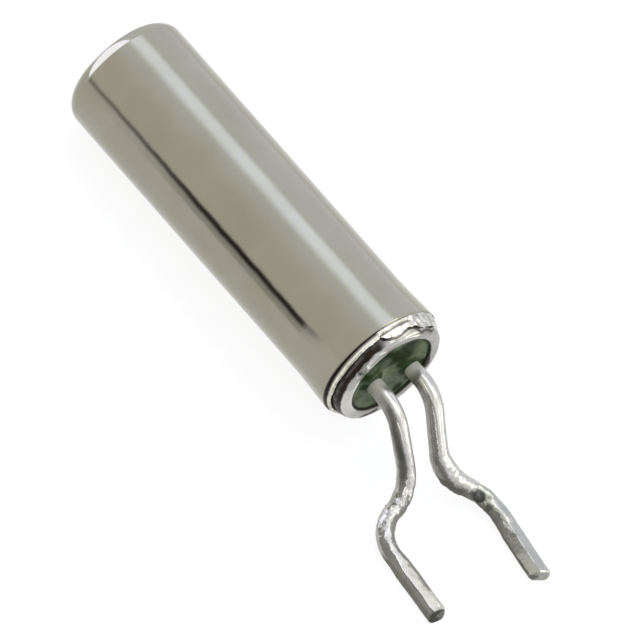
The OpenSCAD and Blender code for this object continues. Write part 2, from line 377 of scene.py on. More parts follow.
def buildCan():
    f, lipShadeAndFlux = canForm, canLipShadeAndFlux
    r, lip, corner = f["radius"], f["length"], f["corner"]
    quarter = math.pi / 2
    profile = [(0.0, x) for x in np.linspace(f["middle"], r - corner, 10)]
    for a in np.linspace(0, quarter, 22)[1:]:
        profile.append((corner * (1 - math.cos(a)), r - corner * (1 - math.sin(a))))
    for x in np.linspace(corner, f["swellStart"], 74)[1:]:
        profile.append((x, r))
    for x in np.linspace(f["swellStart"], lip - f["lipRound"], 44)[1:]:
        profile.append((x, r + f["swell"] * float(smooth(f["swellStart"] + f["swellSoft"], lip, x))))
    top = r + f["swell"]
    for a in np.linspace(0, quarter, 8)[1:]:
        profile.append((lip - f["lipRound"] * (1 - math.sin(a)), top - f["lipRound"] * (1 - math.cos(a))))
    outside = len(profile)
    bore = r - f["wall"]
    profile += [(lip, bore + f["swell"]), (f["swellStart"], bore)]
    inner = corner - f["wall"]
    for a in np.linspace(0, quarter, 8):
        profile.append((corner - inner * math.sin(a), bore - inner * (1 - math.cos(a))))
    profile.append((f["wall"], f["middle"]))
    profile = np.array(profile)
    x = profile[:, :1]
    index = np.arange(len(profile))[:, None]
    turn = np.linspace(0, 2 * math.pi, f["around"], endpoint=False)[None, :]
    rings = canPoints(x, profile[:, 1:], turn)
    # long shallow waves in the outer wall
    stretched = np.stack(np.broadcast_arrays(x * f["waveStretch"], np.cos(turn), np.sin(turn)), -1)
    wave = lumps(stretched, f["waveSize"], 3) * f["wave"] * smooth(0.1, 0.5, x) * (index < outside)
    wave *= smooth(lip, lip - 0.3, x)
    rings += wave[..., None] * (np.cos(turn)[..., None] * upDir + np.sin(turn)[..., None] * sideDir)
    piece = ringMesh("canShell", rings[:, ::-1], capStart=True, capEnd=True)
    degrees = np.degrees(turn)[:, ::-1]  # the rings run the other way round
    # painted shade at the lip, with burnt flux
    wide = lipShadeAndFlux["wide"] + lipShadeAndFlux["wider"] * hump(degrees, *lipShadeAndFlux["low"])
    edge = smooth(lip - wide - lipShadeAndFlux["soft"][0], lip - wide + lipShadeAndFlux["soft"][1], x) * (index < outside + 1)
    share, cleanAt, cleanWide = lipShadeAndFlux["clean"]
    clean = share * np.exp(-(((degrees + 180) % 360 - 180 - cleanAt) / cleanWide) ** 4)
    addMask(piece, "residueAndShade", edge * (lipShadeAndFlux["share"] - clean))
    place(piece, "can", metalMaterial("canNickel", canLook))


buildCan()
print("can built")


# bead: soft solder squeezed out at the mouth, with a crumpled flash over the top
beadLook = {"tone": (0.88, 0.86, 0.77), "stain": (0.56, 0.54, 0.44), "cloudSize": 0.1,
            "cloudContrast": 2.2, "grainSize": 0.03, "rough": 0.23, "roughSpread": 0.12, "bump": 0.2,
            "bumpDepth": 0.008, "speckSize": 0.05, "speckCover": 0.08, "speckTone": (0.16, 0.14, 0.1),
            "speckShare": 0.5, "residueAndShade": (0.03, 0.026, 0.02), "tint": (0.42, 0.41, 0.36), "metal": 0.75}
# low is the turn and spread of a thinner stretch; lumps are height, size and seed
beadForm = {"inner": 0.896, "outer": 0.958, "height": 0.078, "around": 960, "across": 34, "reach": 0.9985,
            "low": (-125, 32), "thinner": 0.3, "lumps": ((0.14, 0.25, 7), (0.06, 0.07, 8)),
            "wobble": ((0.0025, 0.05, 13),)}
# ridges run along the flash's left part: height, place above the lip and width
flashForm = {"from": -25.0, "to": 42.0, "left": (9, 5), "under": 0.86, "tuck": 0.012,
             "edge": ((0.012, 0.06, 5), (0.006, 0.025, 6)),
             "ridges": ((0.013, 0.024, 0.014), (0.017, 0.106, 0.024), (-0.016, 0.064, 0.015)),
             "fold": (0.016, 0.11, 11), "crease": ((0.008, 0.05, 12),), "grit": ((0.004, 0.03, 14),),
             "leftFolds": 0.25}
# free edge of the flash: turn in degrees, and height above the lip
flashEdge = ((-25, -20, -13, -6, 2, 9, 14, 19, 27, 33, 38, 42),
             (0.10, 0.155, 0.186, 0.183, 0.155, 0.165, 0.2, 0.228, 0.212, 0.216, 0.226, 0.19))
# the flash leans in from the lip towards the ring's edge: height above the lip, and radius
flashLean = ((-0.012, 0.0, 0.03, 0.1, 0.16, 0.23), (0.962, 0.972, 0.97, 0.95, 0.936, 0.9))


def flashHeight(degrees):
    return np.interp(degrees, *flashEdge)


def buildBead():
    f, flash = beadForm, flashForm
    lip = canForm["length"]
    turn = np.linspace(-math.pi, math.pi, f["around"], endpoint=False)[None, :]
    degrees = np.degrees(turn)
    q = np.linspace(0, 1, f["across"])[:, None]
    around = np.stack((np.cos(turn), np.sin(turn), 0 * turn), -1)
    share = smooth(flash["from"] - 2, flash["from"] + 1.5, degrees)
    share = share * smooth(flash["to"] + 1, flash["to"] - 1.5, degrees)
    # plain bead: half round, thinner low on the left
    low = hump(degrees, *f["low"])
    height = f["height"] * (1 - f["thinner"] * low) * (1 + layered(around, f["lumps"]))
    half, middle = (f["outer"] - f["inner"]) / 2, (f["outer"] + f["inner"]) / 2
    roundAlong = np.sin(math.pi * q) ** 0.7 * height
    roundRadius = middle + half * np.cos(math.pi * q) + 0 * height
    # flash: a thin skin laid over the ring's side, two ridges on the left and a crumpled patch on the right
    edge = flashHeight(degrees) + layered(around, flash["edge"])
    start = flashLean[0][0]
    skinAlong = start + (edge - start) * np.clip(q / flash["under"], 0, 1)
    left = smooth(*flash["left"], degrees)
    crumpled = 1 - (1 - flash["leftFolds"]) * left
    spots = np.stack(np.broadcast_arrays(lip + skinAlong, np.cos(turn), np.sin(turn)), -1)
    ridges = sum(rise * hump(skinAlong, at, wide) for rise, at, wide in flash["ridges"])
    foldRise, foldSize, foldSeed = flash["fold"]
    folds = foldRise * (1 - 2 * np.abs(lumps(spots, foldSize, foldSeed))) + layered(spots, flash["crease"])
    grit = layered(spots, flash["grit"])
    skinRadius = np.interp(skinAlong, *flashLean) + ridges * left + grit
    skinRadius = skinRadius + folds * crumpled * smooth(-0.01, 0.02, skinAlong)
    tuck = smooth(flash["under"], 1.0, q)
    skinRadius = skinRadius * (1 - tuck) + f["inner"] * tuck
    skinAlong = skinAlong - flash["tuck"] * tuck
    along = lip + roundAlong * (1 - share) + skinAlong * share
    radius = roundRadius * (1 - share) + skinRadius * share
    radius = radius + layered(spots, f["wobble"]) * np.sin(math.pi * q) ** 0.5
    rings = canPoints(along, np.minimum(radius, f["reach"]), turn)
    piece = ringMesh("solderBead", rings, closed=True, sharp=60)
    # painted shadow under the free edge, painted shade with flux at the bead's foot, and painted shade
    # between the ridges and in the hollows
    edgeShadow = smooth(flash["under"] - 0.02, flash["under"] + 0.05, q) * share * 0.95
    foot = (0.85 * smooth(0.12, 0.02, q) + 0.8 * smooth(0.9, 1.0, q)) * (1 - share)
    valleyShade = (0.75 * hump(skinAlong, 0.064, 0.017) + 0.5 * hump(skinAlong, 0, 0.01)) * left * share
    hollowShade = 0.4 * smooth(0.3, -0.6, (folds + 3 * grit) / 0.02)
    hollowShade = np.clip(hollowShade + np.clip(0.15 + 0.6 * lumps(spots, 0.08, 16), 0, 0.4), 0, 0.7)
    hollowShade = hollowShade * crumpled * share
    grime = low * np.clip(0.25 + 0.9 * lumps(spots, 0.06, 15), 0, 1) * (1 - share) * 0.7
    addMask(piece, "residueAndShade", np.clip(edgeShadow + foot + valleyShade + hollowShade + grime, 0, 1))
    # painted shade: greyer patches over the crumpled right part of the flash
    darkening = np.clip(0.75 + 0.6 * lumps(spots, 0.09, 17), 0, 1)
    addMask(piece, "tint", darkening * smooth(-14, -2, degrees) * share)
    place(piece, "seal_solder", metalMaterial("beadSolder", beadLook))


buildBead()
print("bead built")


# ring of the base: bright plated steel, its side stained dark where the flux burnt
ringLook = {"tone": (0.8, 0.79, 0.75), "stain": (0.62, 0.61, 0.565), "cloudSize": 0.24,
            "cloudContrast": 2.4, "grainSize": 0.05, "rough": 0.2, "roughSpread": 0.1, "bump": 0.15,
            "bumpDepth": 0.006, "speckSize": 0.09, "speckCover": 0.08, "speckTone": (0.25, 0.22, 0.17),
            "speckShare": 0.5, "residueAndShade": (0.02, 0.013, 0.009), "tint": (0.31, 0.302, 0.272), "metal": 0.85,
            "matte": 0.3, "matteTone": (0.8, 0.79, 0.75)}
ringForm = {"outer": 0.895, "inner": 0.695, "crest": (6.203, 0.755), "shoulder": 6.07, "innerEdge": 6.185,
            "back": 4.97, "around": 480, "square": 0.8,
            "sideDip": ((0.006, 0.2, 21), (0.003, 0.07, 24)), "frontDip": ((0.009, 0.26, 22),)}
# bump and dent: turn in degrees, radius, size and rise; the dark line along the lower edge of the face: two
# ends (up, side) and width
ringMarks = {"bump": (-53, 0.80, 0.028, 0.016), "dent": (-62, 0.815, 0.05, -0.02),
             "darkLine": ((-0.79, -0.30), (-0.765, -0.01), 0.05)}
# shares of darkening by place: painted shadow under the flash's free edge, the dark line, the dent, painted
# shade on the inner wall and light streaks in the flux; and how far that painted shade reaches over the
# right edge: turn, spread and reach
ringDirtAndShade = {"edgeShadow": 0.9, "darkLine": 0.98, "dent": 0.95, "inWallShade": 0.9, "streaks": 0.14,
            "smear": (101, 13), "smearReach": 0.055}


def buildRing():
    f, dirtAndShade = ringForm, ringDirtAndShade
    lip = canForm["length"]
    bore = canForm["radius"] - canForm["wall"]
    top, ridge = f["crest"]
    outer, inner, shoulder, innerEdge = f["outer"], f["inner"], f["shoulder"], f["innerEdge"]
    quarter = math.pi / 2
    profile = [(f["back"], inner), (f["back"], bore), (lip - 0.02, outer - 0.001)]
    profile += [(x, outer) for x in np.linspace(lip, shoulder, 18)]
    for a in np.linspace(0, quarter, 24)[1:]:
        profile.append((shoulder + (top - shoulder) * math.sin(a), ridge + (outer - ridge) * math.cos(a)))
    for a in np.linspace(0, quarter, 10)[1:]:
        profile.append((innerEdge + (top - innerEdge) * math.cos(a), ridge + (inner - ridge) * math.sin(a)))
    profile += [(x, inner) for x in np.linspace(innerEdge, f["back"], 10)[1:]]
    profile = np.array(profile[:-1])
    turn = np.linspace(-math.pi, math.pi, f["around"], endpoint=False)[None, :]
    degrees = np.degrees(turn)
    whole = degrees % 360
    x, r = profile[:, :1], profile[:, 1:]
    # the outer edge is squarer on the right and below
    rounded = np.clip((r - ridge) / (outer - ridge), 0, 1) * (x > shoulder) * (r > ridge)
    square = f["square"] * smooth(25, 60, whole) * smooth(232, 205, whole)
    r = r + square * (np.sqrt(rounded) - rounded) * (outer - ridge)
    sine = np.sqrt(np.clip(1 - rounded ** 2, 0, 1)) * (rounded > 0)
    x = x + square * (np.sqrt(sine) - sine) * (top - shoulder)
    up, side = r * np.cos(turn), r * np.sin(turn)
    spots = np.stack(np.broadcast_arrays(x, up, side), -1)
    front = smooth(lip, lip + 0.06, x)
    radius = r - front * dips(spots, f["sideDip"])
    along = x - front * dips(spots, f["frontDip"])
    onFace = smooth(shoulder + 0.03, shoulder + 0.08, x)
    marks = {}
    for name in ("bump", "dent"):
        degree, spot, size, rise = ringMarks[name]
        a = math.radians(degree)
        marks[name] = onFace * hump(np.hypot(up - spot * math.cos(a), side - spot * math.sin(a)), 0, size)
        along = along + rise * marks[name]
    # the dark line along the lower edge of the face
    start, end, wide = ringMarks["darkLine"]
    line = np.array(end) - np.array(start)
    away = np.stack((up, side), -1) - np.array(start)
    away = away - np.clip(away @ line / (line @ line), 0, 1)[..., None] * line
    darkLine = smooth(wide, 0.4 * wide, np.linalg.norm(away, axis=-1)) * onFace
    piece = ringMesh("baseRing", canPoints(along, radius, turn), closed=True)
    # burnt flux on the side wall, from the left round to the underside, browner next to the bead
    rise = x - lip
    wall = smooth(0.212, 0.194, rise + 0.012 * lumps(spots, 0.09, 25)) * smooth(0.83, 0.85, r)
    wall = wall * smooth(-18, -32, degrees) * smooth(-179, -168, degrees)
    streaks = np.clip(0.5 + 1.3 * lumps(spots * np.array((3.0, 1, 1)), 0.13, 23), 0, 1)
    wall = wall * (1 - dirtAndShade["streaks"] * streaks * smooth(0.15, 0.11, rise))
    # painted shadow on the side just under the flash's free edge
    edgeShadow = hump(rise, flashHeight(degrees) + 0.006, 0.016)
    edgeShadow = edgeShadow * smooth(-26, -22, degrees) * smooth(44, 40, degrees)
    # painted shade on the inner wall on the right and below, spreading over the edge near the right
    smear = dirtAndShade["smearReach"] * hump(degrees, *dirtAndShade["smear"])
    inWallShade = smooth(0.712, 0.7, r - smear) * smooth(12, 40, whole) * smooth(262, 240, whole)
    residueAndShade = np.maximum.reduce((wall, dirtAndShade["edgeShadow"] * edgeShadow, dirtAndShade["darkLine"] * darkLine,
                                 dirtAndShade["dent"] * marks["dent"], dirtAndShade["inWallShade"] * inWallShade))
    addMask(piece, "residueAndShade", np.clip(residueAndShade, 0, 1) * (1 - marks["bump"]))
    # darker all round the face except on the left, greyer on the side above, and a satin spot on the left
    blush = smooth(-44, -26, degrees) * smooth(52, 40, degrees) * smooth(0.8, 0.84, r)
    blush = blush * smooth(0.0, 0.02, rise) * (0.8 + 0.5 * lumps(spots, 0.1, 26))
    darkening = onFace * (1 - 0.75 * np.exp(-((degrees + 88) / 48) ** 4)) * (0.9 + 0.25 * lumps(spots, 0.16, 27))
    addMask(piece, "matte", 0.8 * onFace * hump(degrees, -77, 10))
    addMask(piece, "tint", np.clip(np.maximum(darkening, blush), 0, 1))
    place(piece, "base_ring", metalMaterial("ringPlate", ringLook))


buildRing()
print("ring built")


# glass: fired green glass that wets the ring and climbs the leads
glassLook = {"tone": (0.2, 0.25, 0.148), "stain": (0.085, 0.12, 0.056), "cloudSize": 0.3,
             "cloudContrast": 3.4, "grainSize": 0.08, "rough": 0.22, "roughSpread": 0.16, "bump": 0.25,
             "bumpDepth": 0.01, "through": 0.06, "shine": 0.012, "shade": (0.006, 0.022, 0.002)}
glassForm = {"radius": 0.696, "face": 6.152, "back": 5.01, "creep": 0.075, "creepSpan": 0.045, "wire": 0.13,
             "pitch": 0.7, "dip": 0.012, "uneven": ((0.007, 0.26, 31),), "around": 200}
# dark spots in the glass, and pale ones with a minus: up, side, size and share
glassSpots = ((-0.12, 0.62, 0.17, 0.95), (0.15, 0.16, 0.15, 0.8), (0.0, -0.49, 0.13, 0.85),
              (-0.29, 0.48, 0.13, 0.85), (-0.47, 0.31, 0.14, 0.95), (0.31, -0.42, 0.16, -0.5),
              (0.31, -0.2, 0.15, -0.5))


def glassMaterial(name, look):
    material, tree = newTree(name)
    shader = add(tree, "ShaderNodeBsdfPrincipled", Metallic=0.0, IOR=1.5)
    shader.inputs["Transmission Weight"].default_value = look["through"]
    shader.inputs["Specular IOR Level"].default_value = look["shine"]
    color, roughness, normal = surface(tree, look)
    if "shade" in look:
        color = mixColor(tree, painted(tree, "shade"), color, look["shade"])
    finishMaterial(tree, shader, color, roughness, normal)
    return material


def buildGlass():
    f = glassForm
    full = f["radius"]
    turn = np.linspace(0, 2 * math.pi, f["around"], endpoint=False)[None, :]
    radii = (*np.linspace(0.004, full - 0.06, 60), *np.linspace(full - 0.05, full, 10))
    radii = np.array(radii)[:, None]
    up, side = radii * np.cos(turn), radii * np.sin(turn)
    flat = np.stack((up, side, 0 * up), -1)
    gaps = [np.hypot(up, side - way * f["pitch"] / 2) - f["wire"] for way in (-1, 1)]
    rise = f["dip"] * smooth(full - 0.09, full, radii) + layered(flat, f["uneven"])
    for gap in gaps:
        rise = rise + f["creep"] * np.exp(-np.clip(gap, 0, None) / f["creepSpan"])
    face = canPoints(f["face"] + rise, radii, turn)
    wall = canPoints(np.array((f["back"] + 0.5, f["back"]))[:, None], full, turn)
    back = canPoints(f["back"], np.array((0.3, 0.004))[:, None], turn)
    rings = np.concatenate((face, wall, back))
    piece = ringMesh("glassPlug", rings, capStart=True, capEnd=True)
    # darker glass across the upper half and in spots; painted shadow round the leads and painted shade
    # along the right and lower rim
    degrees = np.degrees(turn)
    cloud = lumps(flat, 0.3, 33)
    dark = 0.95 * smooth(0.06, 0.24, up + 0.16 * cloud) * smooth(0.68, 0.54, up + 0.1 * cloud)
    dark = dark * smooth(0.5, 0.25, side)
    # painted shadow round the leads
    for gap in gaps:
        dark = np.maximum(dark, 0.8 * smooth(0.09, 0.0, gap + 0.05 * cloud))
    for spotUp, spotSide, size, amount in glassSpots:
        spot = smooth(size, 0.4 * size, np.hypot(up - spotUp, side - spotSide) + 0.03 * cloud)
        dark = np.maximum(dark, amount * spot) if amount > 0 else dark * (1 + amount * spot)
    # painted shade along the right and lower rim
    rim = smooth(full - 0.06, full - 0.02, radii) * smooth(12, 40, degrees) * smooth(262, 236, degrees)
    shade = np.zeros(rings.shape[:2])
    shade[:len(radii)] = np.maximum(dark, rim)
    addMask(piece, "shade", shade)
    place(piece, "glass_seal", glassMaterial("sealGlass", glassLook))


buildGlass()
print("glass built")


# leads: tinned wire through the glass, bent down and out, with the ends pressed flat
leadLook = {"tone": (0.47, 0.457, 0.42), "stain": (0.37, 0.36, 0.32), "cloudSize": 0.2,
            "cloudContrast": 2.4, "grainSize": 0.045, "rough": 0.2, "roughSpread": 0.1, "bump": 0.2,
            "bumpDepth": 0.008, "speckSize": 0.11, "speckCover": 0.1, "speckTone": (0.2, 0.19, 0.16),
            "speckShare": 0.5, "residueAndShade": (0.02, 0.024, 0.018), "tint": (0.31, 0.315, 0.28), "metal": 0.82,
            "matte": 0.25, "matteTone": (0.56, 0.545, 0.46)}
# places along the wire are in millimetres from its inner end; lumps are height, size and seed
leadForm = {"wire": 0.13, "bend": 0.6, "share": 0.48, "step": 0.0105, "around": 84, "flatPost": 0.52,
            "postFace": 0.004, "tin": 0.004, "tinFrom": (2.05, 2.3), "matteTo": (2.25, 2.08),
            "lumps": ((0.009, 0.24, 41), (0.0065, 0.11, 42), (0.0035, 0.05, 43)), "before": 0.14,
            "beforeFrom": (2.0, 2.3), "lumpsFrom": (2.9, 3.7), "crease": (0.014, 0.12, 45)}
# foot: corners is how square its section is, chamfer the facet's slope across and up
footForm = {"half": 0.146, "thick": 0.22, "round": 0.149, "corners": 9.0, "ramp": 0.36,
            "chamfer": (0.75, 0.66), "facetWave": ((0.016, 0.3, 48),), "toeBevel": 0.018,
            "toeRings": (0.9, 0.6, 0.3), "slantFrom": 0.2, "dullFrom": (4.1, 4.4)}
leadPaths = {
    "left": [(-0.4802, -0.186, 1.1716), (2.0159, -0.186, 1.3111), (2.7988, -0.1805, 0.425),
             (3.077, -0.9025, 0.136), (4.5851, -0.9893, 0.136)],
    "right": [(-0.4802, 0.514, 1.1716), (2.0159, 0.514, 1.3111), (2.8468, 0.3674, 0.425),
              (3.246, 1.0301, 0.136), (4.7065, 0.8572, 0.136)],
}
# dents of the bending tool: place along the wire, turn round it in degrees, size, depth and the darkness of
# painted shade in them
# shades are the course of a painted dark reflection along the wire: place, turn and darkness
leadMarks = {
    "left": {
        "dents": ((3.87, 105, 0.08, 0.045, 0.3), (3.8, 60, 0.05, 0.012, 0.1)),
        "shades": ((2.0, 58, 0.25), (2.2, 68, 0.4), (2.45, 78, 0.45), (2.72, 80, 0.5), (3.16, 60, 0.62),
                   (3.45, 62, 0.55), (3.62, 70, 0.0)),
        "crumple": 3.95, "reach": 0.17, "creased": 1.0, "toeSkew": 0.0, "toeLean": 0.06,
        "toeDark": (0.4, 0.75), "darkening": 0.0, "facet": 0.133, "footShift": 0.022,
    },
    "right": {
        "dents": ((4.291, 30, 0.11, 0.036, 0.85), (4.548, 44, 0.05, 0.014, 0.5),
                  (3.6, 298, 0.2, -0.046, 0.0), (3.88, 290, 0.2, -0.032, 0.0)),
        "shades": ((2.05, 70, 0.0), (2.25, 78, 0.25), (2.53, 95, 0.35), (3.0, 88, 0.2), (3.52, 58, 0.4),
                   (3.97, 52, 0.4), (4.12, 50, 0.0)),
        "crumple": 3.78, "reach": 0.3, "creased": 0.75, "toeSkew": 0.05, "toeLean": 0.0,
        "toeDark": (-0.75, 0.85), "darkening": 0.75, "facet": 0.094, "footShift": 0.013,
    },
}


def unit(v):
    return v / np.linalg.norm(v)


def bentPath(corners):
    # straight runs with a round bend at each inner corner, evenly stepped; also gives where the foot begins
    f = leadForm
    p = np.array(corners)
    bends = []
    for i in range(1, len(p) - 1):
        a, b = unit(p[i] - p[i - 1]), unit(p[i + 1] - p[i])
        turn = math.acos(float(np.clip(a @ b, -1, 1)))
        reach = min(np.linalg.norm(p[i] - p[i - 1]), np.linalg.norm(p[i + 1] - p[i]))
        setback = min(f["bend"] * math.tan(turn / 2), f["share"] * reach)
        bends.append((a, b, turn, setback, setback / math.tan(turn / 2)))
    points, last = [p[0]], p[0]
    for i, (a, b, turn, setback, radius) in enumerate(bends, start=1):
        start = p[i] - a * setback
        count = max(2, int(np.linalg.norm(start - last) / f["step"]))
        points += [last + (start - last) * k / count for k in range(1, count + 1)]
        inward = unit(b - a * (a @ b))
        centre = start + inward * radius
        count = max(4, int(turn * radius / f["step"]))
        for k in range(1, count + 1):
            u = turn * k / count
            points.append(centre - inward * radius * math.cos(u) + a * radius * math.sin(u))
        last = points[-1]
    footFrom = len(points) - 1
    count = int(np.linalg.norm(p[-1] - last) / f["step"])
    points += [last + (p[-1] - last) * k / count for k in range(1, count + 1)]
    return np.array(points), footFrom


def wireFrame(tangent):
    # two directions across the wire, carried along it without twist
    first = upDir.copy()
    frames = []
    for t in tangent:
        first = unit(first - t * (first @ t))
        frames.append((first.copy(), np.cross(t, first)))
    return np.array([a for a, b in frames]), np.array([b for a, b in frames])


def buildLead(side):
    f, foot, marks = leadForm, footForm, leadMarks[side]
    points, footFrom = bentPath(leadPaths[side])
    tangent = np.gradient(points, axis=0)
    tangent /= np.linalg.norm(tangent, axis=1)[:, None]
    toeWay = tangent[-1]
    rightWay = np.cross((0, 0, 1), toeWay)
    steps = np.concatenate(((0,), np.cumsum(np.linalg.norm(np.diff(points, axis=0), axis=1))))
    end = steps[-1]
    one, two = wireFrame(tangent)
    turn = np.linspace(0, 2 * math.pi, f["around"], endpoint=False)
    cosine, sine = np.cos(turn), np.sin(turn)
    outward = one[:, None, :] * cosine[None, :, None] + two[:, None, :] * sine[None, :, None]
    radius = f["wire"] + f["tin"] * smooth(*f["tinFrom"], steps)[:, None] + 0 * outward[..., 0]
    # post inside the can: its upper half is cut away under the fork
    cut = (steps < f["flatPost"])[:, None] & (cosine > 0)[None, :]
    radius = np.where(cut, np.minimum(radius, f["postFace"] / np.maximum(cosine, 0.03)[None, :]), radius)
    # pressed foot: a barrel section with flat top and bottom, and a slanted facet along its left edge
    press = smooth(0, foot["ramp"], steps - steps[footFrom])[:, None]
    lift = outward[:, :, 2]
    across = np.sqrt(np.clip(1 - lift ** 2, 0, 1))
    half, corners = foot["thick"] / 2, foot["corners"]
    pressed = np.minimum(half / np.maximum(np.abs(lift), 1e-4), foot["half"] / np.maximum(across, 1e-4))
    pressed = (pressed ** -corners + foot["round"] ** -corners) ** (-1 / corners)
    slope = foot["chamfer"][1] * lift - foot["chamfer"][0] * (outward @ rightWay)
    facet = marks["facet"] + layered(points, foot["facetWave"])
    pressed = np.minimum(pressed, facet[:, None] / np.maximum(slope, 1e-3))
    radius = radius * (1 - press) + pressed * press
    centre = points.copy()
    centre[:, 2] -= (leadPaths[side][3][2] - half) * press[:, 0]
    centre += rightWay * marks["footShift"] * press
    # lumps of tin beyond the first bend, largest where the wire was crumpled
    skin = centre[:, None, :] + outward * radius[..., None]
    before = f["before"]
    amount = before * smooth(*f["beforeFrom"], steps) + (1 - before) * smooth(*f["lumpsFrom"], steps)
    amount = amount * (1 + 0.7 * marks["creased"] * hump(steps, marks["crumple"], 0.2))
    amount = amount * smooth(end + 0.05, end - 0.08, steps) * (1 - 0.55 * press[:, 0])
    creaseDepth, creaseSize, creaseSeed = f["crease"]
    creases = creaseDepth * marks["creased"] * (0.3 - np.abs(lumps(skin, creaseSize, creaseSeed)))
    creases = creases * hump(steps, marks["crumple"], marks["reach"])[:, None]
    bottom = smooth(-0.6, -0.95, lift) * press
    radius = radius + (layered(skin, f["lumps"]) * amount[:, None] + creases) * (1 - bottom)
    # painted dark reflection along the wire, dents, and painted shade in the dents
    places, turns, darks = np.array(marks["shades"]).T
    off = np.abs((np.degrees(turn)[None, :] - np.interp(steps, places, turns)[:, None] + 180) % 360 - 180)
    mask = np.interp(steps, places, darks)[:, None] * smooth(46, 18, off)
    mask = mask * (0.95 + 0.4 * lumps(skin, 0.12, 50))
    for step, degrees, size, depth, dark in marks["dents"]:
        i = int(np.argmin(np.abs(steps - step)))
        a = math.radians(degrees)
        spot = centre[i] + (one[i] * math.cos(a) + two[i] * math.sin(a)) * f["wire"]
        away = np.linalg.norm(skin - spot, axis=2) / size
        if depth > 0:
            away = away * (1 + 0.5 * lumps(skin, 0.1, 51))  # swellings stay round
        radius = radius - depth * hump(away, 0, 1) + 0.2 * max(depth, 0) * hump(away, 1.5, 0.35)
        mask = np.maximum(mask, dark * smooth(1.2, 0.75, away) * (1 - 0.2 * smooth(0.7, 0.2, away)))
    rings = centre[:, None, :] + outward * radius[..., None]
    # cut toe: slanted in plan, with a small bevel round the end
    sideways = ((rings - centre[:, None, :]) @ rightWay) / foot["half"]
    slant = marks["toeSkew"] * (sideways - 0.6)
    slant = slant - marks["toeLean"] * np.clip(rings[:, :, 2] / foot["thick"], 0, 1)
    slant = slant * smooth(end - foot["slantFrom"], end, steps)[:, None]
    rings = rings + slant[..., None] * toeWay
    rings[:, :, 2] = np.maximum(rings[:, :, 2], 0.0)
    bevel = toeWay * foot["toeBevel"]
    middle = rings[-1].mean(0)
    ends = np.array([middle + (rings[-1] - middle) * share + bevel for share in foot["toeRings"]])
    rings[-1] -= bevel
    rings = np.concatenate((rings, ends))
    rings[:, :, 2] = np.maximum(rings[:, :, 2], 0.0)
    edge, dark = marks["toeDark"]
    toe = dark * smooth(edge + 0.6, edge - 0.4, sideways[-1])
    mask = np.concatenate((mask, np.broadcast_to(toe, (len(ends), f["around"]))))
    piece = ringMesh("lead" + side.capitalize(), rings, capStart=True, capEnd=True, sharp=40)
    addMask(piece, "residueAndShade", mask)
    further = np.concatenate((steps, np.full(len(ends), end)))[:, None]
    addMask(piece, "matte", smooth(*f["matteTo"], further) + 0 * mask)
    patches = np.clip(marks["darkening"] + 0.5 * lumps(rings, 0.25, 47), 0, 1)
    addMask(piece, "tint", patches * smooth(*foot["dullFrom"], further))
    return piece


leadTin = metalMaterial("leadTin", leadLook)
for side in ("left", "right"):
    place(buildLead(side), "lead_" + side, leadTin)
print("leads built")


# inner pieces keep their solids and get their own finishes
quartzLook = {"tone": (0.82, 0.86, 0.87), "stain": (0.74, 0.8, 0.82), "cloudSize": 0.6,
              "cloudContrast": 1.5, "grainSize": 0.04, "rough": 0.08, "roughSpread": 0.06, "bump": 0.05,
              "bumpDepth": 0.002, "through": 0.7, "shine": 0.5}
filmLooks = {
    "goldFilm": {"tone": (0.86, 0.62, 0.25), "stain": (0.72, 0.48, 0.16), "rough": 0.18},
    "weightFilm": {"tone": (0.72, 0.69, 0.62), "stain": (0.55, 0.52, 0.45), "rough": 0.25},
    "postSolder": {"tone": (0.66, 0.66, 0.63), "stain": (0.48, 0.48, 0.45), "rough": 0.3},
}
filmCommon = {"cloudSize": 0.15, "cloudContrast": 2.0, "grainSize": 0.03, "roughSpread": 0.12,
              "bump": 0.15, "bumpDepth": 0.003, "speckSize": 0.09, "speckCover": 0.08,
              "speckTone": (0.25, 0.2, 0.12), "speckShare": 0.4}
insideFinish = {"tuning_fork": "forkQuartz", "electrode_left": "goldFilm", "electrode_right": "goldFilm",
                "tip_weights": "weightFilm", "solder_left": "postSolder", "solder_right": "postSolder"}


def finishInside():
    finishes = {name: metalMaterial(name, {**filmCommon, **look}) for name, look in filmLooks.items()}
    finishes["forkQuartz"] = glassMaterial("forkQuartz", quartzLook)
    for name, finish in insideFinish.items():
        mesh = nodes[name].data
        mesh.materials.clear()
        mesh.materials.append(finishes[finish])


finishInside()
print("inside finished")


# studio: white floor and sky, a strip light above, and cards that only the metal sees
studio = {"floorDiffuse": 0.14, "floorGlow": 0.88, "warm": (1.0, 0.985, 0.95), "cool": (1.24, 1.28, 1.42),
          "skyBand": (-0.85, 0.3), "strip": (1.9, 2.05, 2.45), "stripEdge": (1.16, 1.2, 1.28)}
allRays = ("camera", "diffuse", "glossy", "transmission", "shadow", "volume_scatter")


def card(name, corner, across, upward, material, seenBy=("glossy",)):
    # flat card from one corner and two edges, in millimetres; its UV runs from 0 to 1 along both
    c, a, u = (np.array(v, float) for v in (corner, across, upward))
    mesh = bpy.data.meshes.new(name)
    mesh.from_pydata([tuple(v * mm) for v in (c, c + a, c + a + u, c + u)], [], [(0, 1, 2, 3)])
    layer = mesh.uv_layers.new(name="card")
    for loop, uv in zip(layer.data, ((0, 0), (1, 0), (1, 1), (0, 1))):
        loop.uv = uv
    mesh.materials.append(material)
    piece = bpy.data.objects.new(name, mesh)
    scene.collection.objects.link(piece)
    for ray in allRays:
        setattr(piece, "visible_" + ray, ray in seenBy)


def cardTree(name):
    material, tree = newTree(name)
    spot = add(tree, "ShaderNodeUVMap", uv_map="card")
    parts = add(tree, "ShaderNodeSeparateXYZ")
    join(tree, spot.outputs[0], parts.inputs[0])
    return material, tree, parts.outputs[0], parts.outputs[1], add(tree, "ShaderNodeOutputMaterial")


